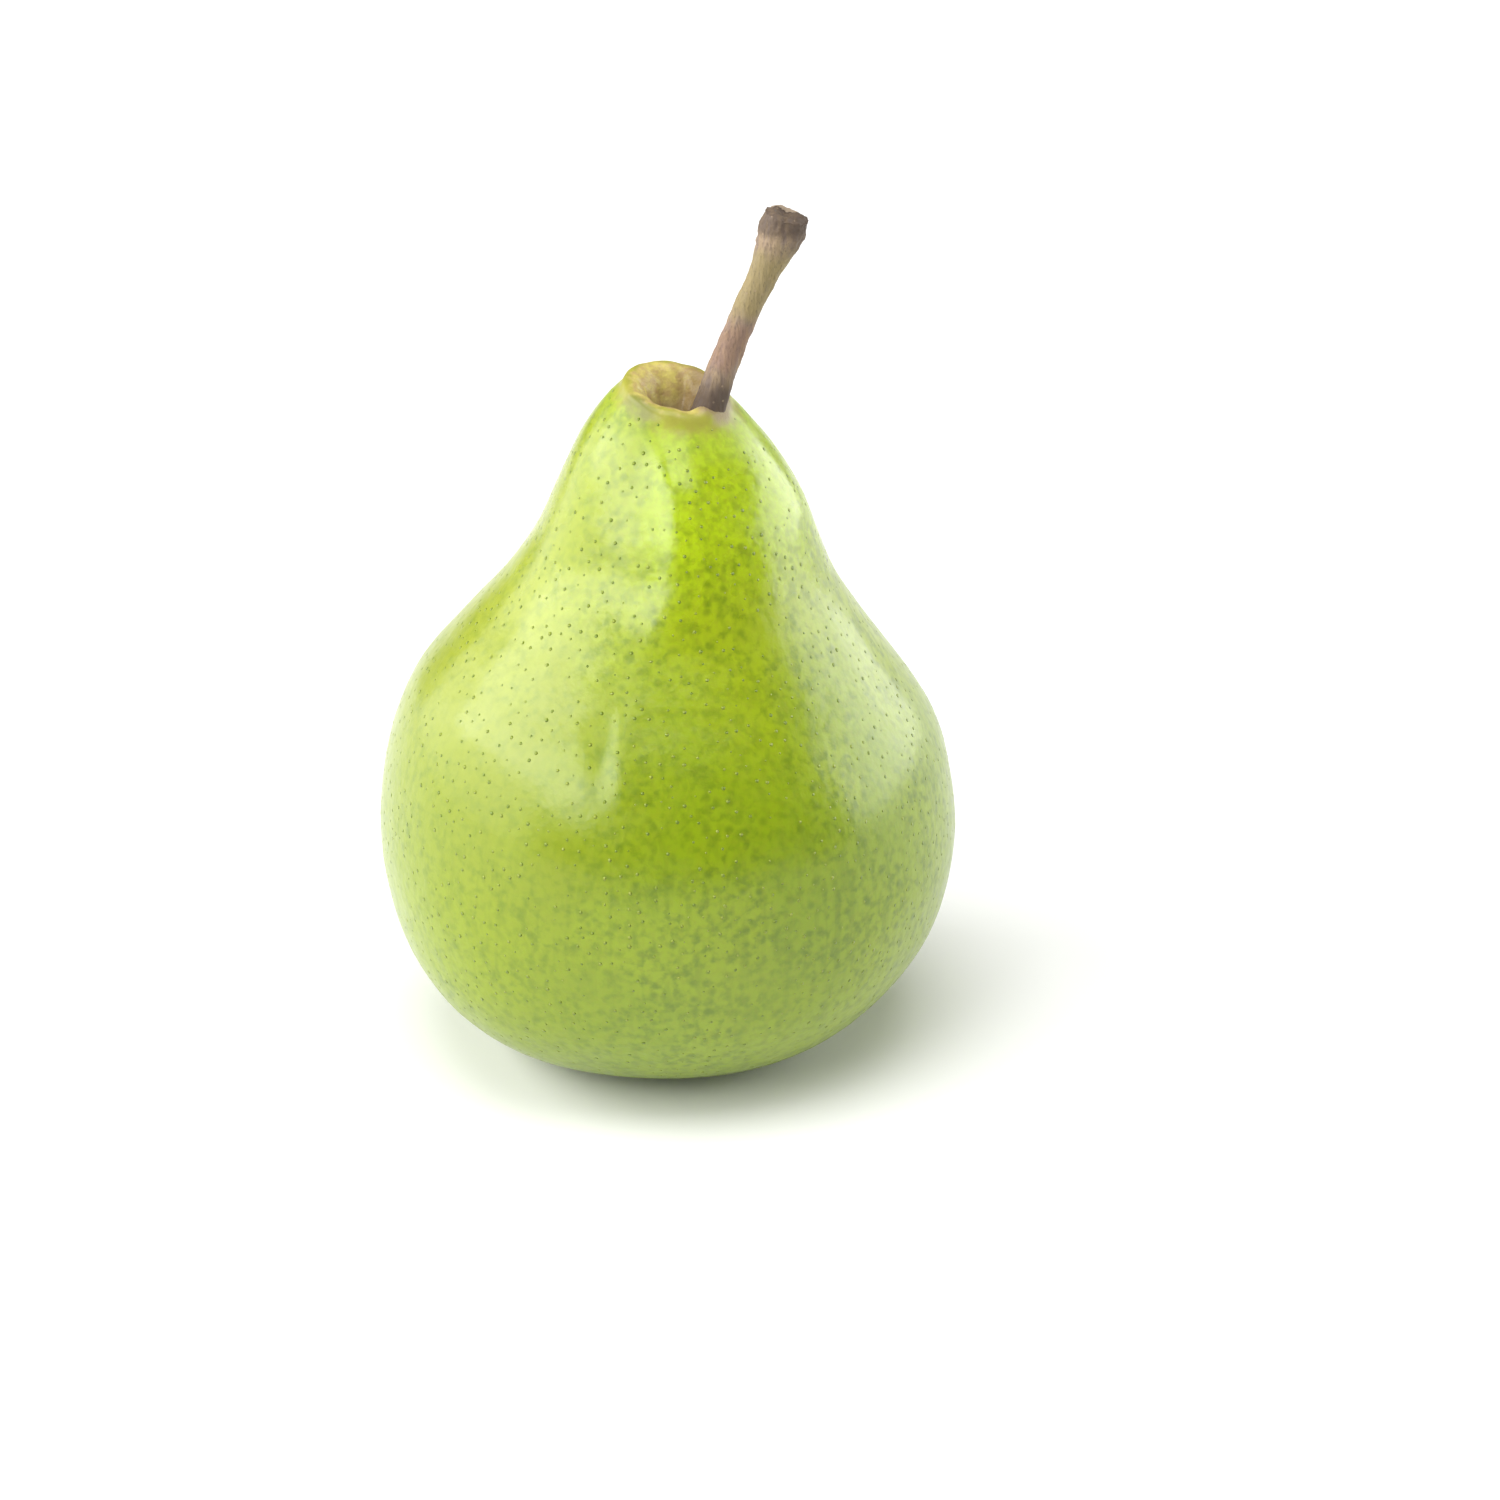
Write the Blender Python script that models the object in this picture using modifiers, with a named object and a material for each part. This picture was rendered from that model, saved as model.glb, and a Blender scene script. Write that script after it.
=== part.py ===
"""A whole green pear, standing on its base, with its stem and its dried calyx.

Metres, +Z up. The origin is on the ground, under the middle of the fruit. The pieces are the
fruit, which is skin and flesh grown as one, the woody stem in the hollow at the top, and the
dried flower parts in the basin underneath: five sepals and a tuft of stamens.
"""

import math

import bmesh
import bpy
import numpy as np

MM = 0.001

# ---------------------------------------------------------------- driving dimensions
# Outlines are lists of (radius, height) in millimetres, from the top of the fruit down.
STEM_HOLLOW_AND_FLANK = [
    (0.0, 77.2),
    (1.8, 77.6),
    (2.9, 79.4),
    (3.7, 81.3),
    (4.8, 82.6),  # crest of the rim round the stem
    (6.0, 82.6),
    (6.8, 81.4),
    (8.9, 79.0),
    (11.9, 75.0),
    (14.6, 69.8),
    (17.1, 64.0),  # narrowest bend of the neck
    (20.3, 58.2),
    (25.0, 52.0),
    (29.7, 45.8),
    (33.2, 38.8),
    (35.0, 30.0),
    (35.0, 22.5),  # the girth, widest part of the fruit
    (32.6, 13.2),
    (27.0, 6.0),
    (19.5, 1.6),
    (12.4, 0.0),  # outer edge of the flat spot that the fruit stands on
]
BASIN_AND_EYE = [
    (8.6, 0.0),  # inner edge of the flat spot
    (6.6, 1.7),
    (4.6, 3.6),
    (3.0, 4.6),
    (2.1, 5.6),
    (2.0, 7.6),
    (1.2, 8.4),
    (0.0, 8.6),
]
# How far the fruit's middle wanders sideways, as (height, offset along X) in millimetres.
LEAN = [
    (26.0, 0.2),
    (38.0, -0.1),
    (47.0, -0.8),
    (53.0, -0.3),
    (59.0, 0.6),
    (66.0, 1.6),
    (74.0, 2.0),
    (83.0, 1.7),
]
RIM_FALL_X, RIM_RISE_Y = 0.18, 0.18  # slope of the rim: lower towards +X, higher towards +Y
RIM_SLOPE_FROM, RIM_SLOPE_TO = 66.0, 82.0  # heights over which that slope sets in
# Gentle lobes, as (waves round the fruit, share of the radius, direction in degrees).
BODY_LOBES = [(2, 0.008, 55.0), (3, 0.006, 20.0)]
BASE_LOBES = [(5, 0.012, 12.0)]
BASE_LOBES_FADE = (34.0, 8.0)  # heights where the base lobes begin and are full
LOBE_FREE_RADIUS = 13.0  # the flat spot and the basin stay round

# The stem's middle line, as (x, y, z, radius) in millimetres, from the foot up.
STEM_LINE = [
    (4.0, -2.3, 75.0, 2.1),
    (4.8, -2.3, 78.4, 2.2),
    (6.0, -2.1, 82.3, 1.95),
    (8.0, -1.5, 88.1, 1.75),
    (9.6, -1.2, 91.9, 1.7),
    (11.6, -0.8, 96.3, 1.8),
    (13.1, -0.7, 99.8, 2.3),
    (14.0, -0.7, 102.1, 2.75),
    (14.5, -0.7, 103.8, 2.65),
]
SOCKET_GAP = 0.3

SEPAL_COUNT = 5
SEPAL_PATH = [(2.7, 4.0), (3.9, 3.15), (5.3, 2.0), (7.0, 0.75)]  # (radius, height) from foot to tip
SEPAL_WIDTHS = [2.7, 3.0, 2.0, 0.5]
SEPAL_THICKNESS = 0.5
SEPAL_CUP = 0.35  # how far a sepal's edges stand lower than its middle
SEPAL_TURN = [0.0, 74.0, 143.0, 217.0, 289.0]  # where each sepal stands, in degrees
STAMEN_TUFT = [(0.0, 8.2), (1.1, 7.9), (1.5, 6.6), (1.4, 4.6), (0.9, 3.2), (0.0, 2.8)]

FRUIT_SIDES, TUFT_SIDES = 48, 12
STEPS_PER_POINT = 2
STEM_STEPS_PER_POINT = 3

COLOURS = {  # base colour and roughness
    "fruit_skin": ((0.42, 0.55, 0.06), 0.38),
    "stem_bark": ((0.22, 0.13, 0.06), 0.75),
    "dried_sepal": ((0.10, 0.055, 0.03), 0.85),
    "dried_stamen": ((0.07, 0.04, 0.02), 0.9),
}


# ---------------------------------------------------------------- helpers
def clear_scene():
    for obj in list(bpy.data.objects):
        bpy.data.objects.remove(obj, do_unlink=True)


def new_collection(name):
    collection = bpy.data.collections.new(name)
    bpy.context.scene.collection.children.link(collection)
    return collection


def material(name):
    colour, roughness = COLOURS[name]
    made = bpy.data.materials.new(name)
    made.use_nodes = True
    shader = made.node_tree.nodes["Principled BSDF"]
    shader.inputs["Base Color"].default_value = (*colour, 1.0)
    shader.inputs["Roughness"].default_value = roughness
    shader.inputs["Metallic"].default_value = 0.0
    return made


def smooth_step(value, start, end):
    t = np.clip((value - start) / (end - start), 0.0, 1.0)
    return t * t * (3.0 - 2.0 * t)


def smooth_line(points, steps):
    """Points along a centripetal Catmull-Rom curve through the given ones, of any dimension."""
    given = np.array(points, float)
    given = np.vstack([2 * given[0] - given[1], given, 2 * given[-1] - given[-2]])
    line = []
    for a, b, c, d in zip(given, given[1:], given[2:], given[3:]):
        ta = 0.0
        tb = ta + math.sqrt(np.linalg.norm(b - a))
        tc = tb + math.sqrt(np.linalg.norm(c - b))
        td = tc + math.sqrt(np.linalg.norm(d - c))
        for t in np.linspace(tb, tc, steps, endpoint=False):
            ab = ((tb - t) * a + (t - ta) * b) / (tb - ta)
            bc = ((tc - t) * b + (t - tb) * c) / (tc - tb)
            cd = ((td - t) * c + (t - tc) * d) / (td - tc)
            abc = ((tc - t) * ab + (t - ta) * bc) / (tc - ta)
            bcd = ((td - t) * bc + (t - tb) * cd) / (td - tb)
            line.append(((tc - t) * abc + (t - tb) * bcd) / (tc - tb))
    line.append(given[-2])
    return np.array(line)


def mesh_object(name, mesh, collection, slot=None):
    obj = bpy.data.objects.new(name, mesh)
    collection.objects.link(obj)
    if slot:
        mesh.materials.clear()
        mesh.materials.append(material(slot))
    return obj


def evaluated_mesh(obj):
    """The object's mesh with its modifiers or bevel made real, its loose caps welded."""
    graph = bpy.context.evaluated_depsgraph_get()
    mesh = bpy.data.meshes.new_from_object(obj.evaluated_get(graph))
    editing = bmesh.new()
    editing.from_mesh(mesh)
    bmesh.ops.remove_doubles(editing, verts=editing.verts, dist=0.00001)
    editing.to_mesh(mesh)
    editing.free()
    return mesh


def turned_mesh(name, outline, sides, collection):
    """A closed mesh turned round Z from an outline of (radius, height) in millimetres."""
    profile = bpy.data.meshes.new(name + "_outline")
    places = [(radius * MM, 0.0, height * MM) for radius, height in outline]
    profile.from_pydata(places, [(i, i + 1) for i in range(len(places) - 1)], [])
    lathe = mesh_object(name + "_lathe", profile, collection)
    screw = lathe.modifiers.new("Turn", "SCREW")
    screw.axis = "Z"
    screw.angle = math.tau
    screw.steps = screw.render_steps = sides
    screw.use_merge_vertices = True
    screw.merge_threshold = 0.00001
    bpy.context.view_layer.update()
    mesh = evaluated_mesh(lathe)
    bpy.data.objects.remove(lathe)
    mesh.name = name
    return mesh


# ---------------------------------------------------------------- the fruit
def grow(places):
    """Takes points of the turned fruit to where they are on the grown one. All in millimetres."""
    x, y, z = places.T.copy()
    radius = np.hypot(x, y)
    angle = np.arctan2(y, x)
    swell = np.zeros_like(radius)
    for waves, share, direction in BODY_LOBES:
        swell += share * np.cos(waves * (angle - math.radians(direction)))
    at_base = smooth_step(z, *BASE_LOBES_FADE)
    for waves, share, direction in BASE_LOBES:
        swell += share * at_base * np.cos(waves * (angle - math.radians(direction)))
    swell *= smooth_step(radius, LOBE_FREE_RADIUS, LOBE_FREE_RADIUS + 12.0)
    x, y = x * (1.0 + swell), y * (1.0 + swell)
    heights, offsets = np.array(LEAN).T
    lean_line = smooth_line(np.column_stack([heights, offsets]), 6)
    above_flat_spot = smooth_step(z, 0.0, heights[0])
    lean = np.interp(z, lean_line[:, 0], lean_line[:, 1]) * above_flat_spot
    slope = smooth_step(z, RIM_SLOPE_FROM, RIM_SLOPE_TO)
    z = z + slope * (RIM_RISE_Y * y - RIM_FALL_X * x)
    return np.column_stack([x + lean, y, z])


def grow_mesh(mesh):
    places = np.empty(len(mesh.vertices) * 3)
    mesh.vertices.foreach_get("co", places)
    grown = grow(places.reshape(-1, 3) / MM) * MM
    mesh.vertices.foreach_set("co", grown.ravel())
    mesh.update()


def make_fruit(collection, cutters):
    flank = smooth_line(STEM_HOLLOW_AND_FLANK, STEPS_PER_POINT)
    flank[:, 1] = np.maximum(flank[:, 1], 0.0)
    basin = smooth_line(BASIN_AND_EYE, STEPS_PER_POINT)
    outline = np.vstack([flank, basin])
    outline[[0, -1], 0] = 0.0
    mesh = turned_mesh("fruit", outline, FRUIT_SIDES, collection)
    grow_mesh(mesh)
    fruit = mesh_object("fruit", mesh, collection, "fruit_skin")
    mesh.shade_smooth()
    mesh.set_sharp_from_angle(angle=math.radians(50))
    socket = fruit.modifiers.new("Stem socket", "BOOLEAN")
    socket.operation = "DIFFERENCE"
    socket.object = make_socket_cutter(cutters)
    return fruit


# ---------------------------------------------------------------- the stem
def stem_curve(name, line, collection):
    """A round, tapering stalk along points of (x, y, z, radius) in millimetres."""
    data = bpy.data.curves.new(name, "CURVE")
    data.dimensions = "3D"
    data.bevel_depth = MM
    data.bevel_resolution = 4
    data.use_fill_caps = True
    spline = data.splines.new("POLY")
    spline.points.add(len(line) - 1)
    for point, (x, y, z, radius) in zip(spline.points, line):
        point.co = (x * MM, y * MM, z * MM, 1.0)
        point.radius = radius
    obj = bpy.data.objects.new(name, data)
    collection.objects.link(obj)
    return obj


def make_stem(collection):
    curve = stem_curve("stem_line", smooth_line(STEM_LINE, STEM_STEPS_PER_POINT), collection)
    bpy.context.view_layer.update()
    mesh = evaluated_mesh(curve)
    bpy.data.objects.remove(curve)
    mesh.shade_smooth()
    mesh.set_sharp_from_angle(angle=math.radians(50))
    return mesh_object("stem", mesh, collection, "stem_bark")


def make_socket_cutter(cutters):
    """The stem's foot, one gap fatter and one gap deeper, run up past the rim."""
    line = smooth_line(STEM_LINE[:5], STEM_STEPS_PER_POINT)
    line[:, 3] += SOCKET_GAP
    line[0, 2] -= SOCKET_GAP
    curve = stem_curve("stem_socket_line", line, cutters)
    bpy.context.view_layer.update()
    mesh = evaluated_mesh(curve)
    bpy.data.objects.remove(curve)
    cutter = mesh_object("stem_socket", mesh, cutters)
    cutter.hide_render = True
    cutter.display_type = "WIRE"
    return cutter


# ---------------------------------------------------------------- the calyx
def make_sepal(number, collection):
    """A dried sepal: a small pointed leaf that spreads over the wall of the basin."""
    rows = len(SEPAL_PATH) - 1
    editing = bmesh.new()
    bmesh.ops.create_grid(editing, x_segments=2, y_segments=rows, size=1.0)
    for vertex in editing.verts:
        across = vertex.co.x
        row = round((vertex.co.y + 1.0) / 2.0 * rows)
        radius, height = SEPAL_PATH[row]
        side = across * SEPAL_WIDTHS[row] / 2.0
        vertex.co = (radius * MM, side * MM, (height - SEPAL_CUP * across * across) * MM)
    mesh = bpy.data.meshes.new(f"sepal_{number}")
    editing.to_mesh(mesh)
    editing.free()
    sepal = mesh_object(f"sepal_{number}", mesh, collection, "dried_sepal")
    wall = sepal.modifiers.new("Leaf thickness", "SOLIDIFY")
    wall.thickness = SEPAL_THICKNESS * MM
    wall.offset = 0.0
    soft = sepal.modifiers.new("Soft form", "SUBSURF")
    soft.levels = soft.render_levels = 1
    sepal.rotation_euler.z = math.radians(SEPAL_TURN[number - 1])
    mesh.shade_smooth()
    return sepal


def make_stamens(collection):
    """The dried stamens and styles, held as one tuft in the eye of the basin."""
    mesh = turned_mesh("stamens", STAMEN_TUFT, TUFT_SIDES, collection)
    mesh.shade_smooth()
    return mesh_object("stamens", mesh, collection, "dried_stamen")


# ---------------------------------------------------------------- the whole pear
def middle_of(obj):
    """The middle of the object's outline as seen from above."""
    places = np.array([vertex.co for vertex in obj.data.vertices])
    middle = (places.min(axis=0) + places.max(axis=0)) / 2.0
    return middle[:2]


def main():
    clear_scene()
    collection = new_collection("pear")
    cutters = new_collection("cutters")
    fruit = make_fruit(collection, cutters)
    pieces = [fruit, make_stem(collection), make_stamens(collection)]
    pieces += [make_sepal(number, collection) for number in range(1, SEPAL_COUNT + 1)]
    axis = bpy.data.objects.new("pear_axis", None)
    collection.objects.link(axis)
    for piece in [*pieces, *cutters.objects]:
        piece.parent = axis
    axis.location = (*-middle_of(fruit), 0.0)
    bpy.context.view_layer.update()


main()
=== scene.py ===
# %% [markdown]
# # A whole green pear
#
# This lesson dresses a plain working model of a pear, the frame, in its real looks. The frame gives the
# place and size of every piece: the fruit, the stem, five dried sepals and a tuft of dried stamens. Each
# piece is made again here with far more detail, and each stands exactly where its plain one stands.
# The frame comes first, because everything after it reads its sizes.

# %% Load the frame
import math

import bmesh
import bpy
import numpy as np
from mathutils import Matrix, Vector


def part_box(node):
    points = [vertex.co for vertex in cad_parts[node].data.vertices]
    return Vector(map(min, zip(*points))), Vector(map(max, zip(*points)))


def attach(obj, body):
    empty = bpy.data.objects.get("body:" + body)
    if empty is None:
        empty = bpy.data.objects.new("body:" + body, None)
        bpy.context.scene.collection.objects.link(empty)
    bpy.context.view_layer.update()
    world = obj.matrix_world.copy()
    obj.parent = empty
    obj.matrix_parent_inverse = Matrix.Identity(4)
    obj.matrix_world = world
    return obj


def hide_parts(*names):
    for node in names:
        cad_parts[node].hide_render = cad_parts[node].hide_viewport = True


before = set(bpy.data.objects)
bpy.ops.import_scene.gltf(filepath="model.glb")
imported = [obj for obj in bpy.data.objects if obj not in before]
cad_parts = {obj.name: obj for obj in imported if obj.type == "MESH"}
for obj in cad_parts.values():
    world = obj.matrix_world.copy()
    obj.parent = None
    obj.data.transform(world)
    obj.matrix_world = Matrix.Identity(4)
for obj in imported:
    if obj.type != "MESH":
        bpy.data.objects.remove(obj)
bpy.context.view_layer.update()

MM = 0.001

# %% [markdown]
# ## The camera
#
# The view looks down on the pear from about half a metre away, as if from a chair at the table. A long lens
# keeps the fruit's outline calm, with little perspective. The pear stands left of the middle of the picture
# and a little above it. The camera's target is set from the middle of the fruit, so it follows the frame.

# %% Camera
CAMERA_HEIGHT_ANGLE = math.radians(25.0)
CAMERA_DISTANCE = 506 * MM
LENS, SENSOR_WIDTH = 100.0, 36.0
TARGET_FROM_FRUIT = Vector((9.95, 0.0, -6.03)) * MM

fruit_low, fruit_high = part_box("fruit")
target = (fruit_low + fruit_high) / 2.0 + TARGET_FROM_FRUIT
camera_data = bpy.data.cameras.new("camera")
camera_data.lens = LENS
camera_data.sensor_width = SENSOR_WIDTH
camera_data.clip_start = 0.01
camera_data.clip_end = 20.0
camera = bpy.data.objects.new("camera", camera_data)
bpy.context.scene.collection.objects.link(camera)
towards_camera = Vector((0.0, -math.cos(CAMERA_HEIGHT_ANGLE), math.sin(CAMERA_HEIGHT_ANGLE)))
camera.location = target + towards_camera * CAMERA_DISTANCE
camera.rotation_euler = (math.radians(90.0) - CAMERA_HEIGHT_ANGLE, 0.0, 0.0)
bpy.context.scene.camera = camera
print("camera at", [round(value, 3) for value in camera.location])

# %% [markdown]
# ## Small tools for node trees
#
# Geometry Nodes shape the pieces, and shader nodes colour them. Both kinds of tree share their maths nodes,
# so one small class serves both: a Field is a socket that can be added, scaled and compared like a number.
# A formula written with Fields becomes a chain of maths nodes. The other way would be a page of links for
# each formula, which is hard to read.

# %% Fields and nodes
def feed(socket, value):
    """Links a node's output into the socket, or sets the socket's own value."""
    if isinstance(value, Field):
        value = value.socket
    if isinstance(value, bpy.types.NodeSocket):
        socket.id_data.links.new(value, socket)
    else:
        socket.default_value = value


class Field:
    """A number inside a node tree, which differs from point to point."""

    def __init__(self, socket):
        self.socket = socket

    def math(self, operation, *others):
        made = self.socket.id_data.nodes.new("ShaderNodeMath")
        made.operation = operation
        for socket, value in zip(made.inputs, (self, *others)):
            feed(socket, value)
        return Field(made.outputs[0])

    def __add__(self, other):
        return self.math("ADD", other)

    def __sub__(self, other):
        return self.math("SUBTRACT", other)

    def __mul__(self, other):
        return self.math("MULTIPLY", other)

    def __truediv__(self, other):
        return self.math("DIVIDE", other)

    __radd__, __rmul__ = __add__, __mul__

    def __rsub__(self, other):
        return self * -1.0 + other

    def ramp(self, start, end, low=0.0, high=1.0):
        """Goes smoothly from low, where this field is at start, to high, where it is at end."""
        made = self.socket.id_data.nodes.new("ShaderNodeMapRange")
        made.interpolation_type = "SMOOTHSTEP"
        given = {"Value": self, "From Min": start, "From Max": end, "To Min": low, "To Max": high}
        for name, value in given.items():
            feed(made.inputs[name], value)
        return Field(made.outputs[0])


def node(tree, kind, inputs=None, **settings):
    """Adds a node, sets its options, and feeds its inputs by name."""
    made = tree.nodes.new(kind)
    for name, value in settings.items():
        setattr(made, name, value)
    for name, value in (inputs or {}).items():
        feed(made.inputs[name], value)
    return made


def vector(tree, x, y, z):
    """A vector put together from three numbers."""
    return node(tree, "ShaderNodeCombineXYZ", {"X": x, "Y": y, "Z": z}).outputs[0]


def parts(tree, socket):
    """A vector taken apart into its X, Y and Z."""
    return [Field(part) for part in node(tree, "ShaderNodeSeparateXYZ", {"Vector": socket}).outputs]


def vector_math(tree, operation, *values):
    made = tree.nodes.new("ShaderNodeVectorMath")
    made.operation = operation
    for socket, value in zip(made.inputs, values):
        feed(socket, value)
    return made.outputs[0]


def scaled(tree, value, factor):
    made = node(tree, "ShaderNodeVectorMath", {"Vector": value, "Scale": factor}, operation="SCALE")
    return made.outputs[0]


def distance(aside, ahead):
    """How far a place is from a line or point that it is aside and ahead of."""
    return (aside * aside + ahead * ahead).math("SQRT")


def noise(tree, place, scale, detail=2.0, distortion=0.0):
    """Soft random values round 0.5. The scale is in waves for each unit of place."""
    inputs = {"Vector": place, "Scale": scale, "Detail": detail, "Distortion": distortion}
    return Field(node(tree, "ShaderNodeTexNoise", inputs).outputs[0])


# %% Geometry trees
def new_tree(name, sizes):
    """A geometry tree with a named input for each size, and its inputs as Fields."""
    tree = bpy.data.node_groups.new(name, "GeometryNodeTree")
    tree.interface.new_socket("Geometry", in_out="INPUT", socket_type="NodeSocketGeometry")
    tree.interface.new_socket("Geometry", in_out="OUTPUT", socket_type="NodeSocketGeometry")
    for size_name, value in sizes.items():
        kind = "NodeSocketInt" if isinstance(value, int) else "NodeSocketFloat"
        item = tree.interface.new_socket(size_name, in_out="INPUT", socket_type=kind)
        item.default_value = value
    given = tree.nodes.new("NodeGroupInput")
    return tree, {socket.name: Field(socket) for socket in given.outputs if socket.name}


def close_tree(tree, geometry, material):
    """Ends a tree: smooth shading, real geometry in place of instances, and the material."""
    smooth = node(tree, "GeometryNodeSetShadeSmooth", {"Geometry": geometry})
    real = node(tree, "GeometryNodeRealizeInstances", {"Geometry": smooth.outputs[0]})
    painted = node(tree, "GeometryNodeSetMaterial", {"Geometry": real.outputs[0], "Material": material})
    node(tree, "NodeGroupOutput", {"Geometry": painted.outputs[0]})


def position(tree):
    """Each point's own place, at the step where it is used."""
    return node(tree, "GeometryNodeInputPosition").outputs[0]


def moved(tree, geometry, **inputs):
    """Moves points to a Position, or by an Offset."""
    return node(tree, "GeometryNodeSetPosition", {"Geometry": geometry, **inputs}).outputs[0]


def made_by(tree, name, start, sizes=None):
    """Runs a geometry tree on a starting mesh and keeps the result as a plain mesh object."""
    holder = bpy.data.objects.new(name + "_start", start)
    bpy.context.scene.collection.objects.link(holder)
    rule = holder.modifiers.new("Rule", "NODES")
    rule.node_group = tree
    for item in tree.interface.items_tree:
        if item.in_out == "INPUT" and item.name in (sizes or {}):
            rule[item.identifier] = sizes[item.name]
    bpy.context.view_layer.update()
    graph = bpy.context.evaluated_depsgraph_get()
    mesh = bpy.data.meshes.new_from_object(holder.evaluated_get(graph))
    holder.modifiers.clear()
    bpy.data.objects.remove(holder)
    mesh.name = name
    used = [material for material in mesh.materials if material][-1]
    mesh.materials.clear()
    mesh.materials.append(used)
    mesh.polygons.foreach_set("material_index", [0] * len(mesh.polygons))
    piece = bpy.data.objects.new(name, mesh)
    bpy.context.scene.collection.objects.link(piece)
    triangles = sum(len(face.vertices) - 2 for face in mesh.polygons)
    size = [round(side / MM, 1) for side in piece.dimensions]
    print(f"{name}: {triangles} triangles, {size} mm, material {used.name}")
    return piece


# %% Boxes in millimetres
def in_mm(corners):
    """The low and the high corner of a box, in rounded millimetres."""
    return [[round(value / MM, 2) for value in corner] for corner in corners]


def box_of(piece):
    return in_mm((piece.bound_box[0], piece.bound_box[6]))


# %% Smooth lines through a few points
def smooth_line(points, steps):
    """Points along a centripetal Catmull-Rom curve through the given ones, of any dimension."""
    given = np.array(points, float)
    given = np.vstack([2 * given[0] - given[1], given, 2 * given[-1] - given[-2]])
    line = []
    for a, b, c, d in zip(given, given[1:], given[2:], given[3:]):
        ta = 0.0
        tb = ta + math.sqrt(np.linalg.norm(b - a))
        tc = tb + math.sqrt(np.linalg.norm(c - b))
        td = tc + math.sqrt(np.linalg.norm(d - c))
        for t in np.linspace(tb, tc, steps, endpoint=False):
            ab = ((tb - t) * a + (t - ta) * b) / (tb - ta)
            bc = ((tc - t) * b + (t - tb) * c) / (tc - tb)
            cd = ((td - t) * c + (t - tc) * d) / (td - tc)
            abc = ((tc - t) * ab + (t - ta) * bc) / (tc - ta)
            bcd = ((td - t) * bc + (t - tb) * cd) / (td - tb)
            line.append(((tc - t) * abc + (t - tb) * bcd) / (tc - tb))
    line.append(given[-2])
    return np.array(line)


def line_mesh(name, places, **values):
    """A mesh of one bare line through the places, with a named value at each point."""
    mesh = bpy.data.meshes.new(name)
    mesh.from_pydata([tuple(place) for place in places], [(i, i + 1) for i in range(len(places) - 1)], [])
    for value_name, numbers in values.items():
        mesh.attributes.new(value_name, "FLOAT", "POINT").data.foreach_set("value", numbers)
    return mesh


wave = smooth_line([(0.0, 0.0), (1.0, 1.0), (2.0, 0.0)], 12)
print("a line through 3 points, with 12 steps between them, has", len(wave), "points")

# %% [markdown]
# ## The fruit's outline
#
# A pear grows from a flower, and it stays nearly round about the line from stem to calyx. So its shape is a
# turned outline that growth has pushed about a little: the neck leans, the body has soft lobes, and the rim
# round the stem slopes. The outline repeats the frame's own driving sizes, in millimetres, because the fine
# skin has to lie where the plain fruit lies. The fruit's axis is read from the frame: it is the middle of
# the flat ring that the pear stands on.

# %% Driving sizes of the fruit
STEM_HOLLOW_AND_FLANK = [
    (0.0, 77.2),
    (1.8, 77.6),
    (2.9, 79.4),
    (3.7, 81.3),
    (4.8, 82.6),
    (6.0, 82.6),
    (6.8, 81.4),
    (8.9, 79.0),
    (11.9, 75.0),
    (14.6, 69.8),
    (17.1, 64.0),
    (20.3, 58.2),
    (25.0, 52.0),
    (29.7, 45.8),
    (33.2, 38.8),
    (35.0, 30.0),
    (35.0, 22.5),
    (32.6, 13.2),
    (27.0, 6.0),
    (19.5, 1.6),
    (12.4, 0.0),
]
BASIN_AND_EYE = [
    (8.6, 0.0),
    (6.6, 1.7),
    (4.6, 3.6),
    (3.0, 4.6),
    (2.1, 5.6),
    (2.0, 7.6),
    (1.2, 8.4),
    (0.0, 8.6),
]
LEAN = [
    (26.0, 0.2),
    (38.0, -0.1),
    (47.0, -0.8),
    (53.0, -0.3),
    (59.0, 0.6),
    (66.0, 1.6),
    (74.0, 2.0),
    (83.0, 1.7),
]
RIM_FALL_X, RIM_RISE_Y = 0.18, 0.18
RIM_SLOPE_FROM, RIM_SLOPE_TO = 66.0, 82.0
BODY_LOBES = [(2, 0.008, 55.0), (3, 0.006, 20.0)]
BASE_LOBES = [(5, 0.012, 12.0)]
BASE_LOBES_FADE = (34.0, 8.0)
LOBE_FREE_RADIUS, LOBE_FULL_RADIUS = 13.0, 25.0

fruit_points = np.array([vertex.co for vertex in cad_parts["fruit"].data.vertices]) / MM
ring = fruit_points[fruit_points[:, 2] < 0.01]
axis_x, axis_y, _ = (ring.min(axis=0) + ring.max(axis=0)) / 2.0
print("the fruit's axis stands at", round(axis_x, 3), round(axis_y, 3), "mm")


# %% The outline as a line that also carries the lean
def fruit_outline():
    """Points of (radius, lean, height): the lean rides along in the middle coordinate."""
    flank = smooth_line(STEM_HOLLOW_AND_FLANK, 12)
    flank[:, 1] = np.maximum(flank[:, 1], 0.0)
    outline = np.vstack([flank, smooth_line(BASIN_AND_EYE, 12)])
    outline[[0, -1], 0] = 0.0
    radius, height = outline.T
    heights, offsets = smooth_line(LEAN, 12).T
    share = np.clip(height / LEAN[0][0], 0.0, 1.0)
    lean = np.interp(height, heights, offsets) * share * share * (3.0 - 2.0 * share)
    return np.column_stack([radius, lean, height])


outline_mesh = line_mesh("fruit_outline", fruit_outline())
print("outline points:", len(outline_mesh.vertices))

# %% [markdown]
# ## The stem's line
#
# The stem is a woody stalk about as thick as a matchstick is wide. It grows out of the front of the rim,
# leans over and ends in the swollen knob where it once held to the twig. Its middle line and thickness
# repeat the frame's sizes too. The fruit needs them before its own skin is made, because the flesh swells
# up round the stem's foot.

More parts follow.
